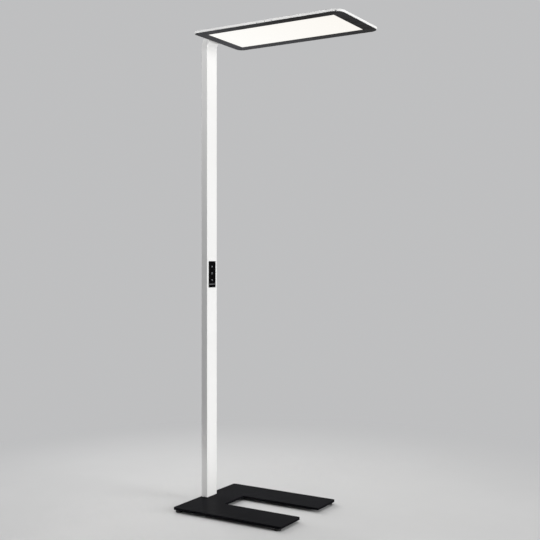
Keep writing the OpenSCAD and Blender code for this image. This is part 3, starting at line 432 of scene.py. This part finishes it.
# the backdrop's colour for the rays that see it, and the dimmer one that lights the lamp
def skyColour(tree):
    path = addNode(tree, "ShaderNodeLightPath")
    directRay = addNode(tree, "ShaderNodeMath", operation="ADD")
    tree.links.new(path.outputs["Is Camera Ray"], directRay.inputs[0])
    tree.links.new(path.outputs["Is Glossy Ray"], directRay.inputs[1])
    seeingRay = addNode(tree, "ShaderNodeMath", operation="ADD", use_clamp=True)
    tree.links.new(directRay.outputs[0], seeingRay.inputs[0])
    tree.links.new(path.outputs["Is Transmission Ray"], seeingRay.inputs[1])
    return mixOf(tree, seeingRay.outputs[0], skyLook["cast"], skyLook["seen"])


def makeWorld():
    world = bpy.data.worlds.new("studio")
    scene.world = world
    world.use_nodes = True
    background = world.node_tree.nodes["Background"]
    world.node_tree.links.new(skyColour(world.node_tree), background.inputs["Color"])
    background.inputs["Strength"].default_value = skyLook["strength"]


floorLook = dict(radius=60.0, sides=128, tones=((0.64, 0.638, 0.632), (0.672, 0.67, 0.664)), patch=1.4,
                 grain=9, rough=(0.6, 0.75), specular=0.2, fadeStart=0.4, fadeEnd=2.0)


# the floor fades into the background with distance from the lamp
def makeFloor():
    bpy.ops.mesh.primitive_circle_add(vertices=floorLook["sides"], radius=floorLook["radius"],
                                      fill_type="NGON")
    floor = bpy.context.object
    floor.name = "floor"
    material, tree, shader, place = startMaterial("paleFloor")
    patches = rangeOf(tree, noiseOf(tree, place, floorLook["patch"]), 0.0, 1.0)
    tree.links.new(mixOf(tree, patches, *floorLook["tones"]), shader.inputs["Base Color"])
    grain = noiseOf(tree, place, floorLook["grain"])
    tree.links.new(rangeOf(tree, grain, *floorLook["rough"]), shader.inputs["Roughness"])
    shader.inputs["Specular IOR Level"].default_value = floorLook["specular"]
    away = addNode(tree, "ShaderNodeVectorMath", operation="LENGTH")
    tree.links.new(place, away.inputs[0])
    fade = addNode(tree, "ShaderNodeMapRange",
                   {"From Min": floorLook["fadeStart"], "From Max": floorLook["fadeEnd"]},
                   interpolation_type="SMOOTHSTEP")
    tree.links.new(away.outputs["Value"], fade.inputs["Value"])
    sky = addNode(tree, "ShaderNodeEmission", {"Strength": skyLook["strength"]})
    tree.links.new(skyColour(tree), sky.inputs["Color"])
    blend = addNode(tree, "ShaderNodeMixShader")
    output = tree.nodes["Material Output"]
    tree.links.new(fade.outputs["Result"], blend.inputs[0])
    tree.links.new(shader.outputs["BSDF"], blend.inputs[1])
    tree.links.new(sky.outputs["Emission"], blend.inputs[2])
    tree.links.new(blend.outputs["Shader"], output.inputs["Surface"])
    floor.data.materials.append(material)


# spread is in degrees; a lamp with gloss=False gives no highlights
plainLamp = dict(spread=180, gloss=True)
lampLook = dict(
    keyLight=dict(place=(5.6, 0.95, 1.3), aim=(-0.2, 0.0, 1.0), size=(2.7, 2.2), power=292.0),
    overLight=dict(place=(0.0, 0.2, 4.4), aim=(0.0, 0.0, 0.0), size=(4.0, 4.0), power=58.0),
    lowLight=dict(place=(-0.9, -3.0, 0.45), aim=(-0.35, 0.0, -0.02), size=(0.3, 0.1), power=0.165,
                  spread=15),
    rimLight=dict(place=(-0.12, -1.05, 2.05), aim=(-0.08, 0.0, 1.86), size=(0.9, 0.3), power=5.3),
    rearLight=dict(place=(-3.8, 1.7, 1.9), aim=(-0.2, 0.0, 1.0), size=(2.6, 2.6), power=142.0,
                   gloss=False),
)


def makeLamp(name, look):
    look = dict(plainLamp, **look)
    data = bpy.data.lights.new(name, "AREA")
    data.shape = "RECTANGLE"
    data.size, data.size_y = look["size"]
    data.energy = look["power"]
    data.spread = math.radians(look["spread"])
    lamp = bpy.data.objects.new(name, data)
    lamp.location = look["place"]
    towards = Vector(look["aim"]) - Vector(look["place"])
    lamp.rotation_euler = towards.to_track_quat("-Z", "Y").to_euler()
    lamp.visible_camera = False
    lamp.visible_glossy = look["gloss"]
    scene.collection.objects.link(lamp)


# the photo's camera: held level, turned about the vertical in degrees, its frame moved 13 of 540 pixels
cameraLook = dict(place=(1.8155, -3.0423, 1.0184), level=90.0, turn=31.4, lens=59.16, sensor=36.0,
                  shiftY=-13 / 540)


def makeCamera():
    data = bpy.data.cameras.new("camera")
    data.sensor_width = cameraLook["sensor"]
    data.lens = cameraLook["lens"]
    data.shift_y = cameraLook["shiftY"]
    camera = bpy.data.objects.new("camera", data)
    camera.location = cameraLook["place"]
    camera.rotation_euler = (math.radians(cameraLook["level"]), 0.0, math.radians(cameraLook["turn"]))
    scene.collection.objects.link(camera)
    scene.camera = camera


makeWorld()
makeFloor()
for name, look in lampLook.items():
    makeLamp(name, look)
makeCamera()
scene.view_settings.view_transform = "Standard"
print("stage: floor, world,", len(lampLook), "lamps and camera")
